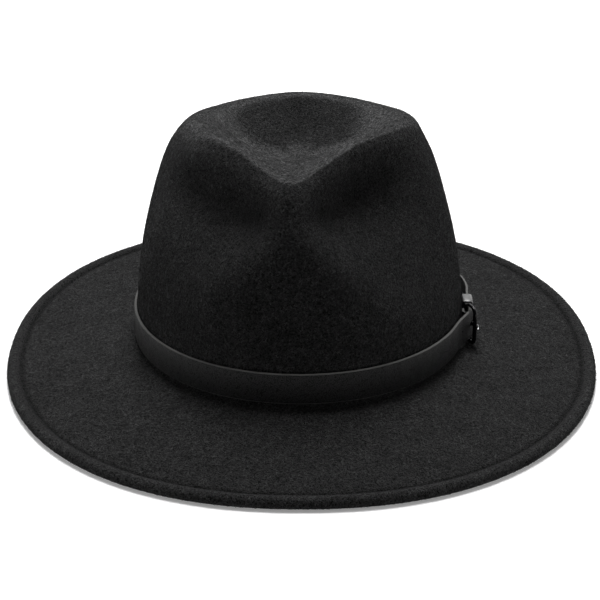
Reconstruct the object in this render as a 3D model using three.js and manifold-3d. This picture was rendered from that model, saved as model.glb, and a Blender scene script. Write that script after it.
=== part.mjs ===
// A black wool-felt fedora, 309 mm wide and 340 mm long, as it stands on a flat surface.
// The felt body is one piece: a teardrop crown with two front pinches, and a wide brim with a turned edge.
// A narrow leather belt runs round the crown and closes in a small buckle on the wearer's left.
// Millimetres. x runs to the wearer's left, y to the back and z up. The brim's edge rests on z = 0.
// A turn is an angle round the crown in degrees: 0 is the front, 90 the wearer's left and 180 the back.
import * as THREE from "three";
import { mergeVertices } from "three/addons/utils/BufferGeometryUtils.js";
import Module from "manifold-3d";

const wasm = await Module();
wasm.setup();

// Felt: wall thickness, the oval of the crown at the belt, and the oval of the brim's edge.
const FELT = 2.5;
const CROWN_OVAL = { side: 84.7, end: 102.1, power: 2.05 };
const BRIM_OVAL = { side: 154.3, end: 170.2, power: 2.18 };
const COLUMNS = 96;
// The crown and the belt stand a little to the wearer's right of the brim's middle.
const CROWN_SHIFT = -1;

// Belt line: the height of the belt's foot half way along the hat, and how it falls from front to back.
const BELT_FOOT = 16.1;
const BELT_FALL = 0.049;
const BELT_WIDTH = 15.7;
const BREAK_BELOW_BELT = 2.1;
const BREAK_RADIUS = 2.3;

// Crown wall: one row for each section, from the front round to the back, in mm.
// low, high and neck are the wall's distances from the axis: at LOW_Z, HIGH_Z and a drop below the peak.
// pinch is how far a dent goes in at the neck.
// DENT_AT_HIGH is the share of the dent that is left at HIGH_Z.
const LOW_Z = 62;
const HIGH_Z = 88;
const DENT_AT_HIGH = 0.2;
const STRAIGHT_ABOVE_BELT = 1.5;
const CROWN_WALL = [
  { turn: 0, low: 96, high: 87, neck: 82.5, drop: 20, pinch: 0 },
  { turn: 7, low: 95.9, high: 87.6, neck: 77.5, drop: 20.5, pinch: 1.5 },
  { turn: 13, low: 95.4, high: 87.6, neck: 74, drop: 24, pinch: 5 },
  { turn: 25, low: 93.2, high: 81.5, neck: 70, drop: 26, pinch: 11 },
  { turn: 35, low: 89.6, high: 77.5, neck: 68, drop: 25.5, pinch: 13 },
  { turn: 50, low: 85, high: 75.6, neck: 65.5, drop: 24, pinch: 10 },
  { turn: 70, low: 82.4, high: 74.6, neck: 66.5, drop: 21, pinch: 2 },
  { turn: 90, low: 81.7, high: 75.4, neck: 67.9, drop: 20, pinch: 0 },
  { turn: 105, low: 82.8, high: 77.2, neck: 69.5, drop: 20, pinch: 0 },
  { turn: 129, low: 88.8, high: 84, neck: 75, drop: 20, pinch: 0 },
  { turn: 152, low: 95.5, high: 90, neck: 80, drop: 20, pinch: 0 },
  { turn: 180, low: 99.5, high: 94, neck: 84.5, drop: 20, pinch: 0 },
];

// Crown top, for the same turns. rim and peak place the top of the fold round the dish, roll is its radius.
// bowl shapes the dish: 1 runs straight to its middle, more than 2 stays low and rises close to the fold.
const CROWN_TOP = [
  { turn: 0, rim: 69, peak: 121.6, roll: 7.5, bowl: 1.7 },
  { turn: 7, rim: 63.2, peak: 122.6, roll: 6.8, bowl: 1.7 },
  { turn: 13, rim: 58, peak: 124.1, roll: 5.4, bowl: 1.7 },
  { turn: 25, rim: 52, peak: 127.4, roll: 4.2, bowl: 1.8 },
  { turn: 35, rim: 49, peak: 129.5, roll: 4.4, bowl: 1.9 },
  { turn: 50, rim: 48, peak: 131.3, roll: 5.5, bowl: 2.1 },
  { turn: 70, rim: 49, peak: 131.9, roll: 8, bowl: 2.4 },
  { turn: 90, rim: 51, peak: 131.9, roll: 10, bowl: 2.8 },
  { turn: 105, rim: 50.5, peak: 130.5, roll: 12, bowl: 3 },
  { turn: 129, rim: 49.9, peak: 127.9, roll: 13, bowl: 2.4 },
  { turn: 152, rim: 51.5, peak: 126.9, roll: 14, bowl: 1.8 },
  { turn: 180, rim: 54, peak: 126.9, roll: 14, bowl: 1.6 },
];
// The arm of the teardrop on the wearer's right is a softer fold over a shallower dent.
const SOFT_ARM = { centre: -38, spread: 32, roll: 2.2, pinch: 0.52 };
// Above the belt the crown bulges further to the wearer's right, and its top comes back to the middle.
// Apart from the shift these are heights.
const CROWN_LEAN = { shift: -0.5, from: 36, full: 95, still: 118, gone: 130 };
// The prow and the two arms sit further to the wearer's right. Heights again, then places along the hat.
const PROW_LEAN = { shift: -4.0, from: 35, full: 82, behind: -8, ahead: -42 };
// Two soft edges run from the prow down and outwards, and leave a flat triangle of felt between them.
// The half turns place the edges at the two heights. An edge stands out by its rise, as wide as its reach.
const FRONT_EDGE = { top: 108, topHalfTurn: 2, foot: 46, footHalfTurn: 37, rise: 2.2, reach: 8.5, fade: 14 };

// Dish of the crown: the height of its middle, and how its floor falls to the back.
const DISH_Z = 109.0;
const DISH_FALL = 0.02;

// Where a section's points lie: degrees up from the fold's outer side, and shares of the dish's radius.
const FOLD_ANGLES = [22, 55, 90];
const DISH_SHARES = [0.72, 0.46, 0.22, 0];

// Turned edge of the brim: inward is the distance from the outermost line of the brim.
const EDGE_TOP = [
  { inward: 0.0, z: 3.0 },
  { inward: 0.9, z: 4.9 },
  { inward: 2.6, z: 6.0 },
  { inward: 4.6, z: 6.0 },
  { inward: 6.6, z: 5.1 },
  { inward: 7.7, z: 4.1 },
  { inward: 8.8, z: 4.6 },
];
const EDGE_UNDER = [
  { inward: 7.7, z: 1.2 },
  { inward: 5.4, z: 0.0 },
  { inward: 2.6, z: 0.0 },
  { inward: 0.8, z: 1.0 },
];
const BRIM_START = { inward: 10.4, z: 5.2 };
const BRIM_DROOP = 0.92;
const BRIM_SHARES = [0, 0.3, 0.65, 1];
const UNDER_SHARES = [1, 0.5];
const BREAK_ANGLE = 45;
const UNDER_BREAK_ANGLES = [80, 45];

// Belt leather, its folded end, which is skived and narrowed, and the gap kept between pieces.
// CHAMFER_LIMIT is the largest share of a strap's thickness that a chamfer may take.
// SKIVE gives the turns between which the strap grows to its full thickness.
// FOLD_END is how far past the heel bar's side and middle the folded end stops.
const LEATHER = 1.2;
const SKIVED = 1.0;
const SKIVE = { from: 81.5, to: 83.2 };
const FOLD_NARROWING = 1.9;
const FOLD_END = { x: 0.15, y: 3.6 };
const FOLD_BENDS = 5;
const STRAP_CHAMFER = 0.35;
const CHAMFER_LIMIT = 1 / 3;
const GAP = 0.3;

// Heel and front bars of the buckle in plan, and the sizes of the frame and the prong.
// FRAME_ABOVE is the frame's clearance over the belt's top edge, where it sits less closely than below.
const HEEL = { x: 86.5, y: -15.5 };
const FRONT_BAR = { x: 90.2, y: -25.3 };
const BAR = 1.8;
const FRONT_BAR_WIDTH = 3.0;
const FRAME_THICKNESS = 2.2;
const FRAME_CORNER = 3.4;
const FRAME_ABOVE = 1.7;
const FRAME_BENDS = [0, 22.5, 45, 67.5, 90];
const BAR_SIDES = [0, 45, 90, 135, 180, 225, 270, 315];
const PRONG_WIDTH = 1.9;
const PRONG_THICKNESS = 0.8;
const PRONG_CHAMFER = 0.25;
const PRONG_LOOP_ANGLES = [290, 250, 210, 170, 130, 90, 50, 15];

// The prong from its loop to its tip: measured from the heel bar, then from its rest on the front bar.
const PRONG_RISE = [
  { x: 1.6, y: -1.2 },
  { x: 2.5, y: -2.8 },
  { x: 3.7, y: -4.6 },
];
const PRONG_END = [
  { x: -0.1, y: 2.4, width: 1.9 },
  { x: 0.0, y: 0.0, width: 1.7 },
  { x: -0.1, y: -1.5, width: 1.3 },
  { x: -0.45, y: -2.3, width: 0.8 },
];

// The strap over the felt beyond the fold: turn, and how far its middle lies off the felt.
const FIXED_LAYER = [
  { turn: 81.5, off: 4.35 },
  { turn: 83.4, off: 2.3 },
  { turn: 91.0, off: 2.15 },
  { turn: 95.5, off: 1.05 },
];
const FREE_LAYER = [
  { turn: 424.3, off: 1.05 },
  { turn: 429.1, off: 1.7 },
  { turn: 433.7, off: 3.4 },
  { turn: 436.8, off: 4.65 },
  { turn: 440.0, off: 5.75 },
  { turn: 441.5, off: 5.6 },
  { turn: 443.4, off: 3.85 },
  { turn: 451.0, off: 3.7 },
  { turn: 455.5, off: 4.1 },
  { turn: 460.0, off: 5.2 },
  { turn: 464.0, off: 5.8 },
  { turn: 470.0, off: 6.2 },
  { turn: 477.5, off: 6.3 },
];
// Columns of the felt that the single layer follows round the crown.
const SINGLE_LAYER = { first: 27, last: 113 };
// The tail's rounded tip: distance from its end, and how much narrower each edge is there.
const TIP = [
  { fromEnd: 5.6, narrow: 0.6 },
  { fromEnd: 2.9, narrow: 2.1 },
  { fromEnd: 0.9, narrow: 4.4 },
  { fromEnd: 0.0, narrow: 6.3 },
];
const HOLE = { radius: 0.85, depth: 2.0, sides: 8 };
const HOLE_TURNS = [429.6, 444.6, 450.9, 457.6];
// Openings for the prong, from the heel bar's middle: the slot in the fold, and the hole that it passes.
const FOLD_SLOT = { x: [-3.0, 2.4], y: [-3.0, 2.4], height: 2.9 };
const HOLE_IN_USE = { x: [0.6, 5.0], y: [-5.4, -0.9], height: 2.5 };
// The keeper: its place, its width along the belt, and its two faces' distances from the felt.
const KEEPER = { turn: 87.15, width: 10.4, inner: 0.35, outer: 5.9, wall: 0.9, corner: 1.2, leastCorner: 0.2 };
const KEEPER_STOPS = [-0.5, -1 / 6, 1 / 6, 0.5];
const KEEPER_BENDS = [0, 45, 90];

// Points closer together than this are one point.
const SAME_POINT = 1e-4;

const rad = THREE.MathUtils.degToRad;

// Distance from the axis to an oval at a turn.
function ovalRadius(oval, turn) {
  const across = Math.abs(Math.sin(rad(turn))) / oval.side;
  const along = Math.abs(Math.cos(rad(turn))) / oval.end;
  return (across ** oval.power + along ** oval.power) ** (-1 / oval.power);
}

function polar(radius, turn, z) {
  return new THREE.Vector3(radius * Math.sin(rad(turn)), -radius * Math.cos(rad(turn)), z);
}

function crownLean(y, z) {
  const { smoothstep } = THREE.MathUtils;
  const body = CROWN_SHIFT + CROWN_LEAN.shift * smoothstep(z, CROWN_LEAN.from, CROWN_LEAN.full);
  const top = smoothstep(z, CROWN_LEAN.still, CROWN_LEAN.gone);
  const forward = smoothstep(PROW_LEAN.behind - y, 0, PROW_LEAN.behind - PROW_LEAN.ahead);
  const prow = smoothstep(z, PROW_LEAN.from, PROW_LEAN.full) * forward;
  return body * (1 - top) + PROW_LEAN.shift * prow;
}

// Height of the belt's foot over a point of the plan.
function beltFoot(y) {
  return BELT_FOOT - BELT_FALL * y;
}

// A smooth value from a table: cubic between the rows, and level at the ends of a mirrored table.
function fromTable(rows, at, column, mirrored) {
  let i = rows.findIndex((row) => row.turn > at) - 1;
  if (i < 0) i = at < rows[0].turn ? 0 : rows.length - 2;
  const slope = (k) => {
    const before = rows[k - 1];
    const after = rows[k + 1];
    if (!before || !after) {
      if (mirrored) return 0;
      const [a, b] = before ? [before, rows[k]] : [rows[k], after];
      return (b[column] - a[column]) / (b.turn - a.turn);
    }
    return (after[column] - before[column]) / (after.turn - before.turn);
  };
  const [a, b] = [rows[i], rows[i + 1]];
  const span = b.turn - a.turn;
  const t = (at - a.turn) / span;
  const ease = t * t * (3 - 2 * t);
  const bend = (t ** 3 - 2 * t * t + t) * slope(i) + (t ** 3 - t * t) * slope(i + 1);
  return a[column] * (1 - ease) + b[column] * ease + bend * span;
}

// The crown's measures at a turn, with the soft arm's fold and dent worked in.
function crownAt(turn) {
  const signed = THREE.MathUtils.euclideanModulo(turn + 180, 360) - 180;
  const at = Math.abs(signed);
  const section = {};
  for (const column of ["low", "high", "neck", "drop", "pinch"])
    section[column] = fromTable(CROWN_WALL, at, column, true);
  for (const column of ["rim", "peak", "roll", "bowl"])
    section[column] = fromTable(CROWN_TOP, at, column, true);
  const soft = Math.exp(-(((signed - SOFT_ARM.centre) / SOFT_ARM.spread) ** 2));
  section.roll *= 1 + (SOFT_ARM.roll - 1) * soft;
  section.pinch *= 1 + (SOFT_ARM.pinch - 1) * soft;
  section.neck -= section.pinch;
  section.high -= section.pinch * DENT_AT_HIGH;
  return section;
}

function dishFloor(y) {
  return DISH_Z - DISH_FALL * y;
}

// One section of the crown's outer face: up the wall, over the fold and down the dish to the axis.
function crownSection(turn) {
  const s = crownAt(turn);
  const foot = ovalRadius(CROWN_OVAL, turn);
  const footY = -foot * Math.cos(rad(turn));
  const breakZ = beltFoot(footY) - BREAK_BELOW_BELT;
  const rimY = -s.rim * Math.cos(rad(turn));
  const slope = (s.bowl * (s.peak - dishFloor(rimY))) / s.rim + DISH_FALL * Math.cos(rad(turn));
  const lean = Math.atan(slope);
  const onFold = (angle) => [s.rim + s.roll * Math.cos(angle), s.peak - s.roll * (1 - Math.sin(angle))];
  const points = [
    [foot, breakZ + BREAK_RADIUS],
    [foot, beltFoot(footY) + BELT_WIDTH + STRAIGHT_ABOVE_BELT],
    [s.low, LOW_Z],
    [s.high, HIGH_Z],
    [s.neck, s.peak - s.drop],
    ...FOLD_ANGLES.map((angle) => onFold(rad(angle))),
    onFold(rad(90) + lean),
  ];
  const [edgeR, edgeZ] = points[points.length - 1];
  const edgeFloor = dishFloor(-edgeR * Math.cos(rad(turn)));
  for (const share of DISH_SHARES) {
    const floor = dishFloor(-edgeR * share * Math.cos(rad(turn)));
    points.push([edgeR * share, floor + (edgeZ - edgeFloor) * share ** s.bowl]);
  }
  const stops = points.map(([r, z]) => new THREE.Vector3(r, 0, z));
  return new THREE.CatmullRomCurve3(stops, false, "centripetal");
}

// Places along the section's points where a ring of the mesh is taken, outside and inside.
const OUTER_STEPS = [0, 1, 1.5, 2, 2.5, 3, 3.5, 4, 4.5, 5, 6, 7, 8, 9, 10, 11];
const INNER_STEPS = [11, 9.5, 8, 7, 6, 5, 4.2, 3.4, 2.6, 1.8, 1, 0];
const FOLD_STEP = 5;
const LAST_STEP = 12;
const NEARBY = { step: 0.05, turn: 1 };

// The outer face at a turn and a step, and the same face moved in by a depth along its normal.
function crownPoint(sections, turn, step, depth) {
  const at = (t, s) => {
    const p = sections(t).getPoint(THREE.MathUtils.clamp(s / LAST_STEP, 0, 1));
    const onWall = s < FOLD_STEP ? frontEdge(t, p.z) : 0;
    const place = polar(p.x + onWall, t, p.z);
    place.x += crownLean(place.y, place.z);
    return place;
  };
  const point = at(turn, step);
  if (!depth) return point;
  if (step <= 1) {
    const aside = crownLean(point.y, point.z);
    const inner = polar(Math.hypot(point.x - aside, point.y) - depth, turn, point.z);
    return inner.setX(inner.x + aside);
  }
  const along = at(turn, step + NEARBY.step).sub(at(turn, step - NEARBY.step));
  const around = at(turn + NEARBY.turn, step).sub(at(turn - NEARBY.turn, step));
  const normal = around.cross(along).normalize();
  return point.addScaledVector(normal, -depth);
}

// Section curves, worked out once for each turn.
function sectionStore() {
  const store = new Map();
  return (turn) => {
    if (!store.has(turn)) store.set(turn, crownSection(turn));
    return store.get(turn);
  };
}

// How far the front edges lift the wall at a turn and a height.
function frontEdge(turn, z) {
  const { top, topHalfTurn, foot, footHalfTurn, rise, reach, fade } = FRONT_EDGE;
  const signed = THREE.MathUtils.euclideanModulo(turn + 180, 360) - 180;
  const halfTurn = THREE.MathUtils.mapLinear(z, top, foot, topHalfTurn, footHalfTurn);
  const along = rad(Math.abs(signed) - halfTurn) * ovalRadius(CROWN_OVAL, turn);
  const started = THREE.MathUtils.smoothstep(z, foot, foot + fade);
  const ended = THREE.MathUtils.smoothstep(z, top - fade, top);
  return rise * started * (1 - ended) * Math.exp(-((along / reach) ** 2));
}

// A closed solid through rings of equal count. Open ends are closed by a fan round a middle point.
function skin(rings, { loop = false, tips = null } = {}) {
  const positions = [];
  const index = [];
  const count = rings[0].length;
  for (const ring of rings) for (const p of ring) positions.push(p.x, p.y, p.z);
  const last = loop ? rings.length : rings.length - 1;
  for (let i = 0; i < last; i++) {
    const here = i * count;
    const next = ((i + 1) % rings.length) * count;
    for (let k = 0; k < count; k++) {
      const m = (k + 1) % count;
      index.push(here + k, here + m, next + m, here + k, next + m, next + k);
    }
  }
  if (!loop) {
    const ends = tips ?? [middle(rings[0]), middle(rings[rings.length - 1])];
    const base = positions.length / 3;
    for (const p of ends) positions.push(p.x, p.y, p.z);
    const top = (rings.length - 1) * count;
    for (let k = 0; k < count; k++) {
      const m = (k + 1) % count;
      index.push(base, m, k);
      index.push(base + 1, top + k, top + m);
    }
  }
  const geometry = new THREE.BufferGeometry();
  geometry.setAttribute("position", new THREE.Float32BufferAttribute(positions, 3));
  geometry.setIndex(index);
  return facingOut(geometry);
}

function middle(ring) {
  return ring.reduce((sum, p) => sum.add(p), new THREE.Vector3()).divideScalar(ring.length);
}

// Turns all faces round when they point inwards.
function facingOut(geometry) {
  const p = geometry.attributes.position;
  const [a, b, c] = [new THREE.Vector3(), new THREE.Vector3(), new THREE.Vector3()];
  const index = geometry.index.array;
  let volume = 0;
  for (let i = 0; i < index.length; i += 3) {
    a.fromBufferAttribute(p, index[i]);
    b.fromBufferAttribute(p, index[i + 1]);
    c.fromBufferAttribute(p, index[i + 2]);
    volume += a.dot(b.cross(c));
  }
  if (volume < 0)
    for (let i = 0; i < index.length; i += 3) [index[i + 1], index[i + 2]] = [index[i + 2], index[i + 1]];
  return geometry;
}

// The felt body: rings from the middle of the dish out to the brim's edge, and back inside to the middle.
function feltBody() {
  const sections = sectionStore();
  const turns = Array.from({ length: COLUMNS }, (_, k) => (k * 360) / COLUMNS);
  const ring = (place) => turns.map(place);
  const breakAt = (turn) => {
    const radius = ovalRadius(CROWN_OVAL, turn);
    return { radius, z: beltFoot(-radius * Math.cos(rad(turn))) - BREAK_BELOW_BELT };
  };
  const besideMiddle = (place, share) => place.setX(place.x + CROWN_SHIFT * share);
  const breakRing = (angle, grow) =>
    ring((turn) => {
      const { radius, z } = breakAt(turn);
      const arc = BREAK_RADIUS + grow;
      const r = radius + BREAK_RADIUS - arc * Math.cos(rad(angle));
      return besideMiddle(polar(r, turn, z + BREAK_RADIUS - arc * Math.sin(rad(angle))), 1);
    });
  const brimRing = (share, drop) =>
    ring((turn) => {
      const { radius, z } = breakAt(turn);
      const inner = radius + BREAK_RADIUS;
      const outer = ovalRadius(BRIM_OVAL, turn) - BRIM_START.inward;
      const fall = share ** BRIM_DROOP;
      const place = polar(inner + (outer - inner) * share, turn, z + (BRIM_START.z - z) * fall - drop);
      return besideMiddle(place, 1 - share);
    });
  const edgeRing = ({ inward, z }) => ring((turn) => polar(ovalRadius(BRIM_OVAL, turn) - inward, turn, z));
  const crownRing = (step, depth) => ring((turn) => crownPoint(sections, turn, step, depth));

  const rings = [
    ...OUTER_STEPS.toReversed().map((step) => crownRing(step, 0)),
    breakRing(BREAK_ANGLE, 0),
    ...BRIM_SHARES.map((share) => brimRing(share, 0)),
    ...EDGE_TOP.toReversed().map(edgeRing),
    ...EDGE_UNDER.toReversed().map(edgeRing),
    ...UNDER_SHARES.map((share) => brimRing(share, FELT)),
    ...UNDER_BREAK_ANGLES.map((angle) => breakRing(angle, FELT)),
    ...INNER_STEPS.toReversed().map((step) => crownRing(step, FELT)),
  ];
  const poleZ = dishFloor(0);
  const pole = new THREE.Vector3(crownLean(0, poleZ), 0, poleZ);
  return skin(rings, { tips: [pole, pole.clone().setZ(poleZ - FELT)] });
}

// A point of the belt's own space: the plan, and a height above the belt's foot.
function onBelt(x, y, height) {
  return new THREE.Vector3(x, y, beltFoot(y) + height);
}

// A point of the plan that lies off the felt by a distance.
function offFelt(turn, off) {
  const radius = ovalRadius(CROWN_OVAL, turn);
  const here = polar(radius, turn, 0);
  const [ahead, behind] = [turn + NEARBY.turn / 2, turn - NEARBY.turn / 2];
  const along = polar(ovalRadius(CROWN_OVAL, ahead), ahead, 0)
    .sub(polar(ovalRadius(CROWN_OVAL, behind), behind, 0))
    .normalize();
  return new THREE.Vector2(here.x + along.y * off, here.y - along.x * off);
}

// A flat band on edge along a path of the plan. Each stop has its point, its thickness and its two heights.
function bandAlong(stops, chamfer) {
  const rings = stops.map((stop, i) => {
    const before = stops[Math.max(i - 1, 0)].point;
    const after = stops[Math.min(i + 1, stops.length - 1)].point;
    const along = new THREE.Vector2().subVectors(after, before).normalize();
    const out = new THREE.Vector2(along.y, -along.x);
    const half = stop.thickness / 2;
    const bevel = Math.min(chamfer, stop.thickness * CHAMFER_LIMIT);
    const corner = (side, height) =>
      onBelt(stop.point.x + out.x * side, stop.point.y + out.y * side, height);
    return [
      corner(-half, stop.foot),
      corner(half - bevel, stop.foot),
      corner(half, stop.foot + bevel),
      corner(half, stop.head - bevel),
      corner(half - bevel, stop.head),
      corner(-half, stop.head),
    ];
  });
  return skin(rings);
}

// Cuts solids out of a geometry.
function cut(geometry, cutters) {
  const solid = (g) => {
    const plain = g.clone();
    plain.deleteAttribute("normal");
    plain.deleteAttribute("uv");
    const merged = mergeVertices(plain, SAME_POINT);
    const vertProperties = new Float32Array(merged.attributes.position.array);
    const triVerts = new Uint32Array(merged.index.array);
    return new wasm.Manifold(new wasm.Mesh({ numProp: 3, vertProperties, triVerts }));
  };
  const left = cutters.reduce((body, cutter) => body.subtract(solid(cutter)), solid(geometry));
  const mesh = left.getMesh();
  const result = new THREE.BufferGeometry();
  result.setAttribute("position", new THREE.Float32BufferAttribute(mesh.vertProperties, 3));
  result.setIndex(Array.from(mesh.triVerts));
  return result;
}

// The turns of a layer's rows, and the turns half way between them.
function withHalfWays(rows) {
  return rows.flatMap((row, i) => (i ? [(rows[i - 1].turn + row.turn) / 2, row.turn] : [row.turn]));
}

// The belt: folded end, fixed layer, once round the crown, then through the buckle to the tip.
function hatBand() {
  const stops = [];
  const add = (point, thickness, narrow = 0) =>
    stops.push({ point, thickness, foot: narrow, head: BELT_WIDTH - narrow });
  const pointOf = (layer, turn) => offFelt(turn, fromTable(layer, turn, "off", false));
  const foldRadius = BAR / 2 + GAP + SKIVED / 2;
  add(new THREE.Vector2(HEEL.x - foldRadius + FOLD_END.x, HEEL.y + FOLD_END.y), SKIVED, FOLD_NARROWING);
  for (let i = 0; i <= FOLD_BENDS; i++) {
    const angle = Math.PI * (1 + i / FOLD_BENDS);
    const x = HEEL.x + foldRadius * Math.cos(angle);
    add(new THREE.Vector2(x, HEEL.y + foldRadius * Math.sin(angle)), SKIVED, FOLD_NARROWING);
  }
  const thicknessAt = (turn) => {
    const share = THREE.MathUtils.clamp((turn - SKIVE.from) / (SKIVE.to - SKIVE.from), 0, 1);
    return THREE.MathUtils.lerp(SKIVED, LEATHER, share);
  };
  for (const turn of withHalfWays(FIXED_LAYER)) add(pointOf(FIXED_LAYER, turn), thicknessAt(turn));
  for (let column = SINGLE_LAYER.first; column <= SINGLE_LAYER.last; column++)
    add(offFelt((column * 360) / COLUMNS, FREE_LAYER[0].off), LEATHER);
  for (const turn of withHalfWays(FREE_LAYER.slice(0, -1))) add(pointOf(FREE_LAYER, turn), LEATHER);

  // The rounded tip of the tail.
  const end = FREE_LAYER[FREE_LAYER.length - 1];
  const perTurn = offFelt(end.turn, end.off).distanceTo(offFelt(end.turn - 1, end.off));
  for (const { fromEnd, narrow } of TIP)
    add(pointOf(FREE_LAYER, end.turn - fromEnd / perTurn), LEATHER, narrow);
  const strap = bandAlong(stops, STRAP_CHAMFER);

  const mid = BELT_WIDTH / 2;
  const holes = HOLE_TURNS.map((turn) => {
    const hole = new THREE.CylinderGeometry(HOLE.radius, HOLE.radius, HOLE.depth, HOLE.sides);
    const point = pointOf(FREE_LAYER, turn);
    const out = offFelt(turn, 1).sub(offFelt(turn, 0));
    hole.rotateZ(-Math.PI / 2).rotateZ(Math.atan2(out.y, out.x));
    return hole.translate(point.x, point.y, beltFoot(point.y) + mid);
  });
  const block = ({ x, y, height }) => {
    const [middleX, middleY] = [HEEL.x + (x[0] + x[1]) / 2, HEEL.y + (y[0] + y[1]) / 2];
    const box = new THREE.BoxGeometry(x[1] - x[0], y[1] - y[0], height);
    return box.translate(middleX, middleY, beltFoot(middleY) + mid);
  };
  return cut(strap, [...holes, block(FOLD_SLOT), block(HOLE_IN_USE)]);
}

// The keeper: a leather loop round the fixed layer and the tail, a rounded rectangle drawn along the belt.
function bandKeeper() {
  const { turn, width, inner, outer, wall, corner, leastCorner } = KEEPER;
  const foot = -(wall + GAP);
  const head = BELT_WIDTH + wall + GAP;
  const section = (shrink) => {
    const [n0, n1, h0, h1] = [inner + shrink, outer - shrink, foot + shrink, head - shrink];
    const r = Math.max(corner - shrink, leastCorner);
    const centres = [
      [n1 - r, h1 - r, 0],
      [n0 + r, h1 - r, 90],
      [n0 + r, h0 + r, 180],
      [n1 - r, h0 + r, 270],
    ];
    return centres.flatMap(([n, h, start]) =>
      KEEPER_BENDS.map((step) => [n + r * Math.cos(rad(start + step)), h + r * Math.sin(rad(start + step))]),
    );
  };
  const degrees = rad(1) * ovalRadius(CROWN_OVAL, turn);
  const ringAt = (share, shrink) => {
    const here = turn + (share * width) / degrees;
    const [base, out] = [offFelt(here, 0), offFelt(here, 1).sub(offFelt(here, 0))];
    return section(shrink).map(([n, h]) => onBelt(base.x + out.x * n, base.y + out.y * n, h));
  };
  const outside = KEEPER_STOPS.map((share) => ringAt(share, 0));
  const inside = KEEPER_STOPS.toReversed().map((share) => ringAt(share, wall));
  return skin([...outside, ...inside], { loop: true });
}

// A closed loop of bar in the buckle's leaning plane: u runs from the heel bar to the front bar.
function buckleFrame() {
  const heel = new THREE.Vector2(HEEL.x, HEEL.y);
  const along = new THREE.Vector2(FRONT_BAR.x - HEEL.x, FRONT_BAR.y - HEEL.y);
  const length = along.length();
  along.normalize();
  const out = new THREE.Vector2(-along.y, along.x);
  const [low, high] = [-(GAP + BAR / 2), BELT_WIDTH + FRAME_ABOVE + BAR / 2];
  const corners = [
    { u: FRAME_CORNER, h: high - FRAME_CORNER, start: 90, bulk: BAR },
    { u: FRAME_CORNER, h: low + FRAME_CORNER, start: 180, bulk: BAR },
    { u: length - FRAME_CORNER, h: low + FRAME_CORNER, start: 270, bulk: FRONT_BAR_WIDTH },
    { u: length - FRAME_CORNER, h: high - FRAME_CORNER, start: 0, bulk: FRONT_BAR_WIDTH },
  ];
  const rings = corners.flatMap(({ u, h, start, bulk }) =>
    FRAME_BENDS.map((step) => {
      const angle = rad(start + step);
      const [du, dh] = [Math.cos(angle), Math.sin(angle)];
      const across = BAR + (bulk - BAR) * Math.abs(du);
      const thick = BAR + (FRAME_THICKNESS - BAR) * (bulk > BAR ? 1 : 0);
      return BAR_SIDES.map((a) => {
        const inPlane = (across / 2) * Math.cos(rad(a));
        const off = (thick / 2) * Math.sin(rad(a));
        const place = heel.clone().addScaledVector(along, u + (FRAME_CORNER + inPlane) * du);
        place.addScaledVector(out, off);
        return onBelt(place.x, place.y, h + (FRAME_CORNER + inPlane) * dh);
      });
    }),
  );
  return skin(rings, { loop: true });
}

// The prong: a loop round the heel bar, then up through the strap's hole and over the front bar.
function buckleProng() {
  const loopRadius = BAR / 2 + GAP + PRONG_THICKNESS / 2;
  const rest = FRONT_BAR.x + FRAME_THICKNESS / 2 + GAP + PRONG_THICKNESS / 2;
  const path = [
    ...PRONG_LOOP_ANGLES.map((angle) => {
      const [x, y] = [loopRadius * Math.cos(rad(angle)), loopRadius * Math.sin(rad(angle))];
      return { x: HEEL.x + x, y: HEEL.y + y, width: PRONG_WIDTH };
    }),
    ...PRONG_RISE.map(({ x, y }) => ({ x: HEEL.x + x, y: HEEL.y + y, width: PRONG_WIDTH })),
    ...PRONG_END.map(({ x, y, width }) => ({ x: rest + x, y: FRONT_BAR.y + y, width })),
  ];
  const mid = BELT_WIDTH / 2;
  const stops = path.map(({ x, y, width }) => ({
    point: new THREE.Vector2(x, y),
    thickness: PRONG_THICKNESS,
    foot: mid - width / 2,
    head: mid + width / 2,
  }));
  return bandAlong(stops, PRONG_CHAMFER);
}

const FELT_BLACK = new THREE.MeshStandardMaterial({ color: 0x1d1d1f, roughness: 0.95, metalness: 0 });
const LEATHER_BLACK = new THREE.MeshStandardMaterial({ color: 0x232324, roughness: 0.55, metalness: 0 });
const METAL_BLACK = new THREE.MeshStandardMaterial({ color: 0x0c0c0e, roughness: 0.2, metalness: 0.9 });

const fedora = new THREE.Group();
function place(name, geometry, material) {
  geometry.computeVertexNormals();
  const mesh = new THREE.Mesh(geometry, material);
  mesh.name = name;
  fedora.add(mesh);
}
place("felt_body", feltBody(), FELT_BLACK);
place("hat_band", hatBand().translate(CROWN_SHIFT, 0, 0), LEATHER_BLACK);
place("band_keeper", bandKeeper().translate(CROWN_SHIFT, 0, 0), LEATHER_BLACK);
place("buckle_frame", buckleFrame().translate(CROWN_SHIFT, 0, 0), METAL_BLACK);
place("buckle_prong", buckleProng().translate(CROWN_SHIFT, 0, 0), METAL_BLACK);

export default fedora;
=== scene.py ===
# %% [markdown]
# A black wool-felt fedora with a teardrop crown, a wide brim and a narrow leather belt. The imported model
# gives every piece its place and size. This script gives each piece its finish: the short nap of brushed
# felt, the stitches that hold the turned brim edge, grained leather with paler cut edges, and black enamel.
# Everything is in metres. x runs to the wearer's left, y to the back of the hat and z up from the surface.

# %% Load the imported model
import math

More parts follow.
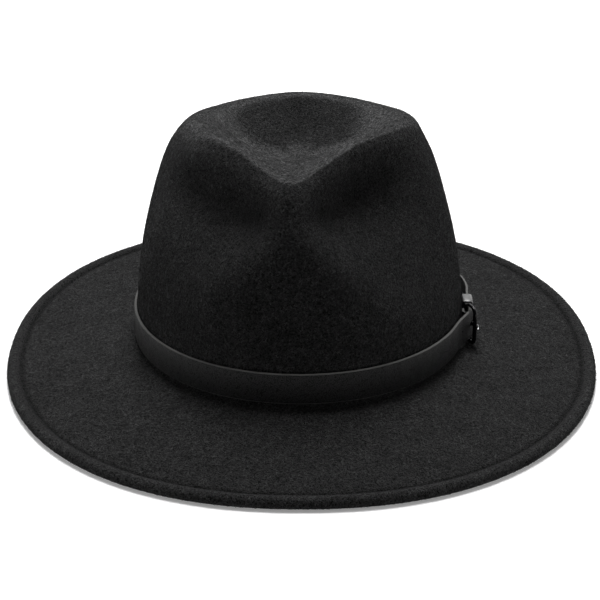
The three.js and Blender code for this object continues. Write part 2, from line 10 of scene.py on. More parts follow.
import bpy
import numpy as np
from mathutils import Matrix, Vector


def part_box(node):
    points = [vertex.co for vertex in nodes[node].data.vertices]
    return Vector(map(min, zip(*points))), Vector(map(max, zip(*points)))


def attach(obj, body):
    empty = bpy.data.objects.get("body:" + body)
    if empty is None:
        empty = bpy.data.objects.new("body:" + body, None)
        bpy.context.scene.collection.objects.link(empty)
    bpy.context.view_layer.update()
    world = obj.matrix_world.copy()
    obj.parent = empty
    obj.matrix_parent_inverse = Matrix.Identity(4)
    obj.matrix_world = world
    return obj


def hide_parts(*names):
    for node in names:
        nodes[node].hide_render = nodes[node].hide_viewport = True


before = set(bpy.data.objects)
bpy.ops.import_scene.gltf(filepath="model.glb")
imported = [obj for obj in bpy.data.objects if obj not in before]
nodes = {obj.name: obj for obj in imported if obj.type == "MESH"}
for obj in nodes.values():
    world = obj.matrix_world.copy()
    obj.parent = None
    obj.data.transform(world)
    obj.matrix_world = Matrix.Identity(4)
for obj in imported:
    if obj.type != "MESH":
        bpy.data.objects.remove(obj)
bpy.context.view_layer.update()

for name in sorted(nodes):
    low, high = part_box(name)
    print(name, "from", [round(v, 4) for v in low], "to", [round(v, 4) for v in high])

# %% [markdown]
# The camera stands in front of the hat and looks down at it by 24 degrees, from about a metre away. A long
# lens keeps the brim's far edge from shrinking too much. With a 36 mm sensor the lens length sets how much of
# the picture the hat fills. The camera looks at a point above the surface, near the foot of the crown.

# %% The camera
LOOK_AT = Vector((-0.00078, 0.0, 0.02983))
LOOK_DOWN = math.radians(24.0)
CAMERA_AWAY = 1.05
LENS = 119.8


def aim(thing, place, target):
    """Puts a camera or a lamp at a place, turned to look at a target."""
    thing.location = place
    thing.rotation_euler = (Vector(target) - Vector(place)).to_track_quat("-Z", "Y").to_euler()


bpy.ops.object.camera_add()
camera = bpy.context.object
camera.name = "camera"
camera.data.lens = LENS
camera.data.sensor_width = 36.0
away = Vector((0.0, -math.cos(LOOK_DOWN), math.sin(LOOK_DOWN))) * CAMERA_AWAY
aim(camera, LOOK_AT + away, LOOK_AT)
bpy.context.scene.camera = camera
print("camera", [round(v, 3) for v in camera.location])

# %% [markdown]
# The hat stands on a plain pale floor. A felt hat is lit best from above and a little behind: light that
# grazes the nap makes its fibres glow, the dish of the crown fills with light, and the front stays deep
# black. One large lamp overhead and one behind do this. A weak, low one on each side opens the sides of the
# crown and gives the leather its sheen. Each lamp is placed by two angles in degrees: its direction, turned
# from behind the hat to the camera's right, and its height. Left and right are the camera's.

# %% The floor and the light
scene = bpy.context.scene
scene.view_settings.view_transform = "Standard"

bpy.ops.mesh.primitive_plane_add(size=6.0)
floor = bpy.context.object
floor.name = "floor"

LAMPS = [
    {"name": "lamp behind", "direction": 0, "height": 50, "power": 12.0},
    {"name": "lamp overhead", "direction": 0, "height": 72, "power": 34.0},
    {"name": "lamp on the left", "direction": -78, "height": 10, "power": 4.2},
    {"name": "lamp on the right", "direction": 95, "height": 14, "power": 2.0},
]
LAMP_AWAY = 1.7
LAMP_SIZE = 0.7
CROWN_MIDDLE = Vector((0.0, 0.0, 0.07))
for lamp in LAMPS:
    turn = math.radians(lamp["direction"])
    height = math.radians(lamp["height"])
    flat = math.cos(height)
    out = Vector((math.sin(turn) * flat, math.cos(turn) * flat, math.sin(height)))
    bpy.ops.object.light_add(type="AREA")
    light = bpy.context.object
    light.name = lamp["name"]
    light.data.size = LAMP_SIZE
    light.data.energy = lamp["power"]
    aim(light, CROWN_MIDDLE + out * LAMP_AWAY, CROWN_MIDDLE)
    print(lamp["name"], lamp["power"], "W")

# %% [markdown]
# The room and every finish are made of nodes. Small helpers keep their trees readable: one sets a node's
# sockets, one adds a node, and three add a sum, a smooth step or a mix of colours. The last three start a
# material, start a group with named sockets, and place a group in a material.

# %% Helpers for nodes


def set_sockets(tree, node, values):
    """Sets the sockets of a node, each to a plain value or to another node's output."""
    for name, value in values.items():
        if isinstance(value, bpy.types.NodeSocket):
            tree.links.new(value, node.inputs[name])
        else:
            node.inputs[name].default_value = value
    return node


def add_node(tree, kind, values=None, **settings):
    """A node of a kind. Settings are its options, values its sockets."""
    node = tree.nodes.new("ShaderNode" + kind)
    for name, value in settings.items():
        setattr(node, name, value)
    return set_sockets(tree, node, values or {})


def maths(tree, operation, a, b, clamp=False):
    """The result of a sum of two values, each a number or another node's output."""
    return add_node(tree, "Math", {0: a, 1: b}, operation=operation, use_clamp=clamp).outputs["Value"]


def between(tree, value, start, end, low=0.0, high=1.0):
    """A value that goes smoothly from low to high while the first one goes from start to end."""
    spread = {"Value": value, "From Min": start, "From Max": end, "To Min": low, "To Max": high}
    return add_node(tree, "MapRange", spread, interpolation_type="SMOOTHSTEP").outputs["Result"]


def mix_colors(tree, share, first, second):
    """Two colours mixed by a share. The node keeps its colours in sockets 6 and 7, its result in output 2."""
    return add_node(tree, "Mix", {"Factor": share, 6: first, 7: second}, data_type="RGBA").outputs[2]


def new_material(name):
    """A material with its tree and its shader."""
    material = bpy.data.materials.new(name)
    material.use_nodes = True
    return material, material.node_tree, material.node_tree.nodes["Principled BSDF"]


def new_group(name, inputs, outputs):
    """A node group with named sockets. Inputs are (name, kind, value), outputs are (name, kind)."""
    group = bpy.data.node_groups.new(name, "ShaderNodeTree")
    for label, kind, value in inputs:
        socket = group.interface.new_socket(label, in_out="INPUT", socket_type="NodeSocket" + kind)
        if value is not None:
            socket.default_value = value
    for label, kind in outputs:
        group.interface.new_socket(label, in_out="OUTPUT", socket_type="NodeSocket" + kind)
    return group, group.nodes.new("NodeGroupInput").outputs, group.nodes.new("NodeGroupOutput").inputs


def use_group(tree, group, values):
    """A group placed in a tree, with its values set."""
    return add_node(tree, "Group", values, node_tree=group)


# %% [markdown]
# The room looks different to each kind of ray. To the camera it is pale, like a paper backdrop. To
# reflections it is a studio: white walls at the sides and behind the hat, and a dark wall behind the camera.
# So leather and enamel shine at their sides and stay black in front. Its tone follows how far back a ray
# points, and turns smoothly from dark to white. It sends almost no light of its own on the felt, which keeps
# the folds deep.

# %% The room
ROOM_LIGHT = 0.06
WALL_DARK = 0.06
WALL_WHITE = 0.9
WALL_TURNS = (-0.75, 0.1)
BACKDROP = (0.8, 0.8, 0.8, 1.0)
world = bpy.data.worlds.new("room")
scene.world = world
world.use_nodes = True
room = world.node_tree
direction = add_node(room, "TexCoord").outputs["Generated"]
front_to_back = add_node(room, "SeparateXYZ", {"Vector": direction}).outputs["Y"]
wall_light = between(room, front_to_back, *WALL_TURNS, WALL_DARK, WALL_WHITE)
dim = set_sockets(room, room.nodes["Background"], {"Color": (1.0, 1.0, 1.0, 1.0), "Strength": ROOM_LIGHT})
walls = add_node(room, "Background", {"Color": BACKDROP, "Strength": wall_light})
paper = add_node(room, "Background", {"Color": BACKDROP, "Strength": 1.0})
ray = add_node(room, "LightPath").outputs
studio = add_node(room, "MixShader", {"Fac": ray["Is Glossy Ray"], 1: dim.outputs[0], 2: walls.outputs[0]})
seen = add_node(room, "MixShader", {"Fac": ray["Is Camera Ray"], 1: studio.outputs[0], 2: paper.outputs[0]})
room.links.new(seen.outputs["Shader"], room.nodes["World Output"].inputs["Surface"])
print("the room sends", ROOM_LIGHT, "and its walls reflect from", WALL_DARK, "to", WALL_WHITE)

# %% [markdown]
# The floor is white. To the camera alone it glows a little, a painted glow that fills the shadow round the
# brim, as on a cut-out picture. It lights nothing, so the hat gets none of that glow and the underside of its
# edge stays dark.

# %% The floor's finish
FLOOR_PAINTED_GLOW = (0.25, 0.25, 0.25, 1.0)
FLOOR_TONES = [(0.90, 0.90, 0.90, 1.0), (0.94, 0.94, 0.94, 1.0)]
SPECK_SCALE = 40.0
material, tree, shader = new_material("pale floor")
place = add_node(tree, "TexCoord").outputs["Object"]
specks = add_node(tree, "TexNoise", {"Vector": place, "Scale": SPECK_SCALE, "Detail": 3.0})
tone = mix_colors(tree, specks.outputs["Fac"], *FLOOR_TONES)
tree.links.new(tone, shader.inputs["Base Color"])
shader.inputs["Roughness"].default_value = 0.9
# Painted glow, seen by the camera only: it fills the shadow on the floor.
shader.inputs["Emission Color"].default_value = FLOOR_PAINTED_GLOW
seen_by_camera = add_node(tree, "LightPath").outputs["Is Camera Ray"]
tree.links.new(seen_by_camera, shader.inputs["Emission Strength"])
floor.data.materials.append(material)
print("floor finish:", material.name)

# %% [markdown]
# Brushed wool felt has no weave. Its surface is a mat of short, curled fibres that lie every way, in clumps
# less than a millimetre across, with slow light and dark clouds where the nap was brushed. Noise makes the
# clouds and clumps. A ridge of bent noise, the thin places where it crosses its middle value, makes lines as
# thin and curly as fibres. The felt, its loose fibres and its stitches use the group, each at its own scale.

# %% The fibre group
LONG_FIBRE_WIDTH = 0.022
SHORT_FIBRE_WIDTH = 0.035
SHORT_FIBRES_FINER = 1.9
SHORT_FIBRE_SHARE = 0.7
CLUMP_RANGE = (0.38, 0.63)
CLOUD_SCALE = 70.0
CLOUD_RANGE = (0.3, 0.7)


def curled_lines(tree, vector, size, width):
    """Thin curly lines where a noise crosses its middle value."""
    noise = add_node(tree, "TexNoise", {"Vector": vector, "Scale": size, "Detail": 1.5, "Distortion": 0.8})
    off_middle = maths(tree, "ABSOLUTE", maths(tree, "SUBTRACT", noise.outputs["Fac"], 0.5), 0.0)
    return between(tree, off_middle, width, 0.0)


fibres, given, result = new_group(
    "matted fibres",
    [("Vector", "Vector", None), ("Clump Size", "Float", 900.0), ("Fibre Size", "Float", 600.0)],
    [("Fibres", "Float"), ("Clumps", "Float"), ("Clouds", "Float")],
)
place = given["Vector"]
long_fibres = curled_lines(fibres, place, given["Fibre Size"], LONG_FIBRE_WIDTH)
finer = maths(fibres, "MULTIPLY", given["Fibre Size"], SHORT_FIBRES_FINER)
short_fibres = curled_lines(fibres, place, finer, SHORT_FIBRE_WIDTH)
lines = maths(fibres, "MAXIMUM", long_fibres, maths(fibres, "MULTIPLY", short_fibres, SHORT_FIBRE_SHARE))
clumping = {"Vector": place, "Scale": given["Clump Size"], "Detail": 4.0, "Roughness": 0.65}
clumps = add_node(fibres, "TexNoise", clumping)
drifting = {"Vector": place, "Scale": CLOUD_SCALE, "Detail": 4.0, "Roughness": 0.6}
clouds = add_node(fibres, "TexNoise", drifting)
fibres.links.new(lines, result["Fibres"])
fibres.links.new(between(fibres, clumps.outputs["Fac"], *CLUMP_RANGE), result["Clumps"])
fibres.links.new(between(fibres, clouds.outputs["Fac"], *CLOUD_RANGE), result["Clouds"])
print("group", fibres.name, "with", len(fibres.nodes), "nodes")

# %% [markdown]
# The felt's colour is a deep black with faint clouds. Single fibres are painted paler, as a painted highlight
# for the light that each one catches. A little sheen makes the nap glow where the surface turns away, and the
# bump lifts clumps and fibres a little. A point attribute of painted light and shade makes the felt paler or
# deeper from place to place. Where it is missing, nothing changes.

# %% The felt
FELT_DEEP = (0.0038, 0.0038, 0.0038, 1.0)
FELT_TOP = (0.0325, 0.0325, 0.0328, 1.0)
FELT_FIBRE_HIGHLIGHT = (0.085, 0.085, 0.086, 1.0)
FELT_CLUMPS = 1050.0
FELT_FIBRES = 680.0
FIBRE_SHARE = 0.4
CLOUD_TONES = (0.91, 1.09)
NAP_HEIGHT = 0.0004


def make_felt(name, deep, top, clump_size, fibre_size):
    """Black felt or thread: its deepest and palest ground colour and the scale of its clumps and fibres."""
    finish, tree, shader = new_material(name)
    place = add_node(tree, "TexCoord").outputs["Object"]
    nap = use_group(tree, fibres, {"Vector": place, "Clump Size": clump_size, "Fibre Size": fibre_size})
    ground = mix_colors(tree, nap.outputs["Clumps"], deep, top)
    # Fibre lines are painted paler: a painted highlight.
    fibre_share = maths(tree, "MULTIPLY", nap.outputs["Fibres"], FIBRE_SHARE)
    with_fibres = mix_colors(tree, fibre_share, ground, FELT_FIBRE_HIGHLIGHT)
    cloud_tone = between(tree, nap.outputs["Clouds"], 0.0, 1.0, *CLOUD_TONES)
    # Painted light and shade from a point attribute: paler where lit, deeper in shade.
    painted_light = add_node(tree, "Attribute", attribute_name="painted_light").outputs["Fac"]
    tone = maths(tree, "MULTIPLY", cloud_tone, maths(tree, "ADD", painted_light, 1.0))
    toned = add_node(tree, "VectorMath", {0: with_fibres, "Scale": tone}, operation="SCALE")
    tree.links.new(toned.outputs["Vector"], shader.inputs["Base Color"])
    height = maths(tree, "ADD", nap.outputs["Clumps"], maths(tree, "MULTIPLY", nap.outputs["Fibres"], 0.5))
    bump = add_node(tree, "Bump", {"Strength": 0.9, "Distance": NAP_HEIGHT, "Height": height})
    tree.links.new(bump.outputs["Normal"], shader.inputs["Normal"])
    shader.inputs["Roughness"].default_value = 0.95
    shader.inputs["Specular IOR Level"].default_value = 0.0
    shader.inputs["Sheen Weight"].default_value = 0.06
    shader.inputs["Sheen Roughness"].default_value = 0.42
    shader.inputs["Sheen Tint"].default_value = (0.99, 0.99, 1.0, 1.0)
    return finish


felt = make_felt("brushed wool felt", FELT_DEEP, FELT_TOP, FELT_CLUMPS, FELT_FIBRES)
print("felt finish:", felt.name)

# %% [markdown]
# The felt body is blocked from one piece of felt, so its finished form is one smooth skin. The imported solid
# already has its true shape in flat facets. A copy is merged, its triangles are paired back into four-sided
# faces, and Subdivision Surface rounds it. Modelling it afresh would only risk moving it off its true place.

# %% Helpers for pieces
MERGE_WITHIN = 0.000002


def only(thing):
    """Selects one object and makes it active."""
    bpy.ops.object.select_all(action="DESELECT")
    thing.select_set(True)
    bpy.context.view_layer.objects.active = thing


def merged_copy(node, name):
    """A piece with a CAD node's shape, its loose triangles merged."""
    piece = nodes[node].copy()
    piece.data = nodes[node].data.copy()
    piece.name = piece.data.name = name
    piece.parent = None
    for key in list(piece.keys()):
        del piece[key]
    scene.collection.objects.link(piece)
    piece.data.materials.clear()
    only(piece)
    bpy.ops.object.mode_set(mode="EDIT")
    bpy.ops.mesh.select_all(action="SELECT")
    bpy.ops.mesh.remove_doubles(threshold=MERGE_WITHIN)
    bpy.ops.object.mode_set(mode="OBJECT")
    if "custom_normal" in piece.data.attributes:
        bpy.ops.mesh.customdata_custom_splitnormals_clear()
    return piece


def apply_modifier(piece, kind, **settings):
    """Adds a modifier to a piece and applies it."""
    only(piece)
    modifier = piece.modifiers.new(kind.lower(), kind)
    for name, value in settings.items():
        setattr(modifier, name, value)
    bpy.ops.object.modifier_apply(modifier=modifier.name)


def finish_piece(piece, material, slot, *stands_for):
    """The finish and the ride of a finished piece. The slot is not used."""
    piece.data.materials.append(material)
    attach(piece, "root")
    if stands_for:
        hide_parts(*stands_for)
    low = [min(v.co[i] for v in piece.data.vertices) for i in range(3)]
    high = [max(v.co[i] for v in piece.data.vertices) for i in range(3)]
    faces = len(piece.data.polygons)
    print(piece.name, faces, "faces, from", [round(v, 4) for v in low], "to", [round(v, 4) for v in high])


# %% The felt body
felt_piece = merged_copy("felt_body", "felt_hat")
bpy.ops.object.mode_set(mode="EDIT")
bpy.ops.mesh.select_all(action="SELECT")
bpy.ops.mesh.tris_convert_to_quads(face_threshold=math.radians(60), shape_threshold=math.radians(60))
bpy.ops.object.mode_set(mode="OBJECT")
apply_modifier(felt_piece, "SUBSURF", levels=2, render_levels=2)
bpy.ops.object.shade_smooth()
finish_piece(felt_piece, felt, "wool_felt", "felt_body")

# %% [markdown]
# The felt's colour carries painted light and shade that follow the skin's own curve and facing. Folds and
# shoulders that stand out are painted paler, as a painted highlight, and hollows are painted deeper black, as
# painted shade. Between two neighbours the curve is twice the height of one above the other, taken along the
# normal, over the square of their distance. Each point takes the mean of its neighbours, and the values are
# then spread over the skin, so the painted light and shade have no sharp border. On the top of the crown, the
# dish is painted paler where it faces up, by how far it turns to the front or back, and on the inner sides of
# the two arms, as painted light. The flat triangle in front looks to the front and is painted deepest, as
# painted shade. The brim's edge is painted paler on its roll, as painted light, and darker in the sewn
# groove, as painted shade. How far a point lies inside that edge is worked out from the brim's oval, which is
# a little fuller than an ellipse.

# %% How much paler or deeper the painted light and shade make the felt
SHADE_BY_CURVE = [
    {"curve": -40.0, "paler": -0.65},
    {"curve": -12.0, "paler": -0.4},
    {"curve": 2.0, "paler": 0.0},
    {"curve": 12.0, "paler": 0.0},
    {"curve": 45.0, "paler": 0.35},
]
LIGHT_FROM_BEHIND = [
    {"back": -0.40, "paler": -0.15},
    {"back": -0.30, "paler": 0.05},
    {"back": -0.22, "paler": 1.3},
    {"back": -0.10, "paler": 1.9},
    {"back": 0.00, "paler": 1.15},
    {"back": 0.10, "paler": 1.0},
]
LIT_INNER_SIDES = 0.9
BRIM_EDGE_SHADING = [
    {"inward": 0.0, "paler": -0.15},
    {"inward": 0.0015, "paler": 0.2},
    {"inward": 0.0040, "paler": 0.45},
    {"inward": 0.0060, "paler": 0.1},
    {"inward": 0.0072, "paler": -0.45},
    {"inward": 0.0084, "paler": -0.45},
    {"inward": 0.0102, "paler": 0.15},
]

# %% Helpers that read the skin
STEEPEST_CURVE = 250.0
SPREAD_STEPS = 24
BRIM_POWER = 2.18
brim_side, brim_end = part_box("felt_body")[1][:2]


def read_points(mesh, collection, key):
    """One vector for each point of a mesh."""
    values = np.empty(len(mesh.vertices) * 3, np.float32)
    collection.foreach_get(key, values)
    return values.reshape(-1, 3)


def skin_curve(mesh, points, normals):
    """How strongly a skin curves at each point, in radians a metre. Hollows are negative."""
    count = len(points)
    ends = np.empty(len(mesh.edges) * 2, np.int32)
    mesh.edges.foreach_get("vertices", ends)
    here, there = np.concatenate([ends.reshape(-1, 2), ends.reshape(-1, 2)[:, ::-1]]).T
    joined = np.bincount(here, minlength=count)
    step = points[here] - points[there]
    bend = 2 * (normals[here] * step).sum(axis=1) / np.maximum((step**2).sum(axis=1), 1e-12)
    curve = np.bincount(here, np.clip(bend, -STEEPEST_CURVE, STEEPEST_CURVE), count) / joined
    for _ in range(SPREAD_STEPS):
        curve = (curve + np.bincount(here, curve[there], count) / joined) / 2
    return curve


def oval_level(x, y, side, end):
    """How far out a place lies in an oval of the brim's kind: 0 in the middle, 1 on its line."""
    return ((abs(x) / side) ** BRIM_POWER + (abs(y) / end) ** BRIM_POWER) ** (1 / BRIM_POWER)


def inside_edge(points):
    """How far points lie inside the brim's edge, seen from above."""
    level = np.maximum(oval_level(points[:, 0], points[:, 1], brim_side, brim_end), 0.01)
    return np.hypot(points[:, 0], points[:, 1]) * (1 / level - 1)


def from_rows(values, rows, key):
    """How much paler the felt is by a table, for many values at once."""
    return np.interp(values, [row[key] for row in rows], [row["paler"] for row in rows])


def part_way(values, start, end):
    """The share of the way from a start to an end, for many values at once."""
    return np.clip((values - start) / (end - start), 0.0, 1.0)


# %% Where light and shade are painted on the felt
FACES_UP = (0.5, 0.85)
FACES_FRONT = (0.8, 0.97)
FRONT_PAINTED_SHADE = 0.15
CROWN_STARTS = (0.034, 0.046)
felt_mesh = felt_piece.data
felt_points = read_points(felt_mesh, felt_mesh.vertices, "co")
skin_normals = read_points(felt_mesh, felt_mesh.vertex_normals, "vector")
curve = skin_curve(felt_mesh, felt_points, skin_normals)
facing_front = part_way(-skin_normals[:, 1], *FACES_FRONT)
facing_in = np.maximum(-skin_normals[:, 0] * np.sign(felt_points[:, 0]), 0.0)
facing_up = part_way(skin_normals[:, 2], *FACES_UP)
# Painted highlight on folds, painted shade in hollows and on faces that look to the front; painted light on
# the top of the crown.
on_walls = from_rows(curve, SHADE_BY_CURVE, "curve") - FRONT_PAINTED_SHADE * facing_front
on_top = from_rows(skin_normals[:, 1], LIGHT_FROM_BEHIND, "back") + LIT_INNER_SIDES * facing_in
on_crown = on_walls * (1 - facing_up) + on_top * facing_up
on_brim = from_rows(inside_edge(felt_points), BRIM_EDGE_SHADING, "inward")
crown_share = part_way(felt_points[:, 2], *CROWN_STARTS)
felt_painted_light = (on_crown * crown_share + on_brim * (1 - crown_share)).astype(np.float32)
# The painted light and shade are kept as a point attribute that the felt's colour reads.
felt_mesh.attributes.new("painted_light", "FLOAT", "POINT").data.foreach_set("value", felt_painted_light)
print("curve from", round(float(curve.min()), 1), "to", round(float(curve.max()), 1), "radians a metre")

# %% [markdown]
# Close up, felt isn't a smooth skin: the ends of single fibres stand out of the mat, curl over and lie down
# again. A hair system could grow them, but hair isn't a mesh and the finished hat has to be meshes. So each
# fibre is a narrow bent ribbon, one or two millimetres long, and thousands of them are written at once from
# arrays. Each one starts at a random place on the felt, runs along it, and turns aside half way. The draws
# come from a seeded generator, so the same fibres grow every time.

# %% Where fibres grow
rng = np.random.default_rng(7)


def unit(vectors):
    """Vectors brought to length one."""
    return vectors / np.maximum(np.linalg.norm(vectors, axis=1, keepdims=True), 1e-9)


felt_quads = np.array([list(face.vertices) for face in felt_mesh.polygons if len(face.vertices) == 4])
corners = felt_points[felt_quads]
felt_middles = corners.mean(axis=1)
felt_crosses = np.cross(corners[:, 2] - corners[:, 0], corners[:, 3] - corners[:, 1])
felt_areas = np.linalg.norm(felt_crosses, axis=1) / 2
felt_normals = unit(felt_crosses)
faces_out = (felt_normals * felt_middles).sum(axis=1) > 0
above_belt = felt_middles[:, 2] > CROWN_STARTS[0]
in_front = felt_middles[:, 1] < 0
print("felt faces", len(felt_quads), "outside", int(faces_out.sum()))
print("area of both sides", round(float(felt_areas.sum()), 4), "m2")

# %% Helpers for a coat of fibres
FIBRE_BENDS = 2
FIBRE_LENGTH = (0.0009, 0.0024)
FIBRE_WIDTH = (0.00010, 0.00019)
FIBRE_LIFT = 0.00012
FIBRE_TWIST = 0.7
FIBRE_CURL = 0.8
FIBRE_TAPER = 0.75


def fibre_roots(where, count):
    """Random places on the marked faces: the face, the place and the normal of each fibre's root."""
    weights = felt_areas * where
    chosen = rng.choice(len(felt_quads), size=count, p=weights / weights.sum())
    quad = felt_points[felt_quads[chosen]]
    u, v = rng.random((2, count, 1))
    lower = quad[:, 0] * (1 - u) + quad[:, 1] * u
    upper = quad[:, 3] * (1 - u) + quad[:, 2] * u
    return chosen, lower * (1 - v) + upper * v, felt_normals[chosen]


def bent_ribbons(place, normal):
    """The points of a bent ribbon on each place, two at its root, two at its bend and two at its tip."""
    count = len(place)
    side = unit(np.cross(normal, rng.normal(size=(count, 3))))
    along = np.cross(side, normal)
    length = rng.uniform(*FIBRE_LENGTH, size=(count, 1))
    width = rng.uniform(*FIBRE_WIDTH, size=(count, 1))
    heading = np.zeros((count, 1))
    twist = rng.normal(0.0, FIBRE_TWIST, size=(count, 1))
    place = place + normal * width * 0.5
    rows = []
    for step in range(FIBRE_BENDS + 1):
        direction = along * np.cos(heading) + side * np.sin(heading)
        flat = np.cross(normal, direction)
        across = flat * np.cos(twist) + normal * np.sin(twist)
        taper = 1.0 - FIBRE_TAPER * step / FIBRE_BENDS
        rows.append(place - across * width * taper / 2)
        rows.append(place + across * width * taper / 2)
        lift = rng.uniform(-0.3, 1.0, size=(count, 1)) * FIBRE_LIFT
        place = place + direction * length / FIBRE_BENDS + normal * lift
        heading = heading + rng.normal(0.0, FIBRE_CURL, size=(count, 1))
    return np.stack(rows, axis=1).reshape(-1, 3)


def grow_fibres(name, where, count):
    """A piece of fibres on the marked faces, carrying the felt's painted light and shade there. The floor
    presses the lowest flat.
    """
    chosen, roots, normals = fibre_roots(where, count)
    points = bent_ribbons(roots, normals)
    points[:, 2] = np.maximum(points[:, 2], 0.0)
    per_fibre = 2 * (FIBRE_BENDS + 1)
    ladder = np.array([[2 * k, 2 * k + 1, 2 * k + 3, 2 * k + 2] for k in range(FIBRE_BENDS)])
    faces = (np.arange(count)[:, None, None] * per_fibre + ladder[None]).reshape(-1, 4)
    mesh = bpy.data.meshes.new(name)
    mesh.vertices.add(len(points))
    mesh.vertices.foreach_set("co", points.astype(np.float32).ravel())
    mesh.loops.add(faces.size)
    mesh.loops.foreach_set("vertex_index", faces.astype(np.int32).ravel())
    mesh.polygons.add(len(faces))
    mesh.polygons.foreach_set("loop_start", np.arange(0, faces.size, 4, dtype=np.int32))
    # Each fibre takes the painted light and shade of the felt face it grows on.
    painted_light = np.repeat(felt_painted_light[felt_quads[chosen]].mean(axis=1), per_fibre)
    mesh.attributes.new("painted_light", "FLOAT", "POINT").data.foreach_set("value", painted_light.astype(np.float32))
    mesh.update()
    mesh.validate()
    piece = bpy.data.objects.new(name, mesh)
    scene.collection.objects.link(piece)
    return piece


# %% [markdown]
# A loose fibre is the same wool as the mat, but it stands free and catches more light. Its finish is the
# felt's own, with colours painted paler as a painted highlight for that light, and finer noise, so that the
# tone changes from fibre to fibre and along each one.

# %% The loose fibres
# Both colours are painted paler than the mat's, as a painted highlight.
LOOSE_DARK = (0.0085, 0.0085, 0.0086, 1.0)
LOOSE_PALE_HIGHLIGHT = (0.105, 0.105, 0.106, 1.0)
LOOSE_CLUMPS = 450.0
LOOSE_FIBRES = 900.0
loose_felt = make_felt("loose fibres", LOOSE_DARK, LOOSE_PALE_HIGHLIGHT, LOOSE_CLUMPS, LOOSE_FIBRES)

COATS = [
    {"name": "crown_front_nap", "where": faces_out & above_belt & in_front, "count": 45000},
    {"name": "crown_back_nap", "where": faces_out & above_belt & ~in_front, "count": 45000},
    {"name": "brim_front_nap", "where": faces_out & ~above_belt & in_front, "count": 45000},
    {"name": "brim_back_nap", "where": faces_out & ~above_belt & ~in_front, "count": 45000},
    {"name": "under_nap", "where": ~faces_out, "count": 8000},
]
for coat in COATS:
    finish_piece(grow_fibres(coat["name"], coat["where"], coat["count"]), loose_felt, "wool_felt")

# %% [markdown]
# The brim's edge is turned up over itself and sewn down with black thread. The seam pulls a groove into the
# felt, and the stitches lie on the groove's inner side, almost lost in the nap. A stitch is a short,
# flattened bead of thread. One is modelled, and its points are copied along the brim's oval, each laid on the
# felt and turned along the seam.

# %% The stitches
SEAM_INWARD = 0.0082
STITCH_PITCH = 0.0033
STITCH_SIZE = (0.0011, 0.00026, 0.00022)
STITCH_SUNK = 0.00006
SEAM_HEIGHT = 0.012
FINE_STEPS = 3600


def seam_point(turn):
    """A point of the seam's plan at a turn round the brim."""
    x, y = math.sin(turn), -math.cos(turn)
    return np.array([x, y]) / oval_level(x, y, brim_side - SEAM_INWARD, brim_end - SEAM_INWARD)


bpy.ops.object.select_all(action="DESELECT")
bpy.ops.mesh.primitive_uv_sphere_add(segments=8, ring_count=6, radius=1.0)
stitch = bpy.context.object
bpy.ops.transform.resize(value=STITCH_SIZE)
bpy.ops.object.transform_apply(location=False, rotation=False, scale=True)
bead = np.array([list(v.co) for v in stitch.data.vertices])
bead_faces = [list(face.vertices) for face in stitch.data.polygons]
bpy.data.objects.remove(stitch)
print("a stitch has", len(bead_faces), "faces")

# %% The seam round the brim
THREAD_DEEP = (0.016, 0.016, 0.0168, 1.0)
THREAD_TOP = (0.050, 0.050, 0.052, 1.0)
THREAD_CLUMPS = 2600.0
THREAD_FIBRES = 2000.0
plan = np.array([seam_point(2 * math.pi * k / FINE_STEPS) for k in range(FINE_STEPS + 1)])
run = np.concatenate([[0.0], np.cumsum(np.linalg.norm(np.diff(plan, axis=0), axis=1))])
stitches = int(run[-1] / STITCH_PITCH)
starts = np.arange(stitches) * run[-1] / stitches
places = np.stack([np.interp(starts, run, plan[:, i]) for i in (0, 1)], axis=1)
seam_points, seam_faces = [], []
for i, (x, y) in enumerate(places):
    _, on_felt, up, _ = felt_piece.closest_point_on_mesh(Vector((x, y, SEAM_HEIGHT)))
    ahead = places[(i + 1) % stitches] - places[i - 1]
    along = Vector((ahead[0], ahead[1], 0.0)).normalized()
    across = up.cross(along).normalized()
    middle = np.array(on_felt) - np.array(up) * STITCH_SUNK
    axes = np.array([along, across, up])
    seam_faces += [[v + len(bead) * i for v in face_points] for face_points in bead_faces]
    seam_points.append(middle + bead @ axes)
seam_mesh = bpy.data.meshes.new("edge_stitches")
seam_mesh.from_pydata(np.concatenate(seam_points).tolist(), [], seam_faces)
seam_piece = bpy.data.objects.new("edge_stitches", seam_mesh)
scene.collection.objects.link(seam_piece)
only(seam_piece)
bpy.ops.object.shade_smooth()
thread = make_felt("black thread", THREAD_DEEP, THREAD_TOP, THREAD_CLUMPS, THREAD_FIBRES)
finish_piece(seam_piece, thread, "wool_felt")
print(stitches, "stitches along", round(float(run[-1]), 3), "m of seam")

# %% [markdown]
# Leather has a grain of fine creases round flat cells, and a half-matt finish that is a little uneven from
# handling. A Voronoi texture gives the cells and noise breaks up their borders. The belt and the keeper use
# the same group.

# %% The leather grain group
HANDLED_SCALE = 120.0
CREASE_WIDTH = 0.25
GRAIN_WANDER = 0.5
grain, given, result = new_group(
    "leather grain",
    [("Vector", "Vector", None), ("Grain Size", "Float", 1400.0)],
    [("Grain", "Float"), ("Handling", "Float")],
)
rough = add_node(grain, "TexNoise", {"Vector": given["Vector"], "Scale": given["Grain Size"], "Detail": 2.0})
wander = maths(grain, "DIVIDE", GRAIN_WANDER, given["Grain Size"])
shift = add_node(grain, "VectorMath", {0: rough.outputs["Color"], "Scale": wander}, operation="SCALE")
moved = add_node(grain, "VectorMath", {0: given["Vector"], 1: shift.outputs["Vector"]}, operation="ADD")
spots = {"Vector": moved.outputs["Vector"], "Scale": given["Grain Size"]}
cells = add_node(grain, "TexVoronoi", spots, feature="DISTANCE_TO_EDGE")
handled = add_node(grain, "TexNoise", {"Vector": given["Vector"], "Scale": HANDLED_SCALE, "Detail": 3.0})
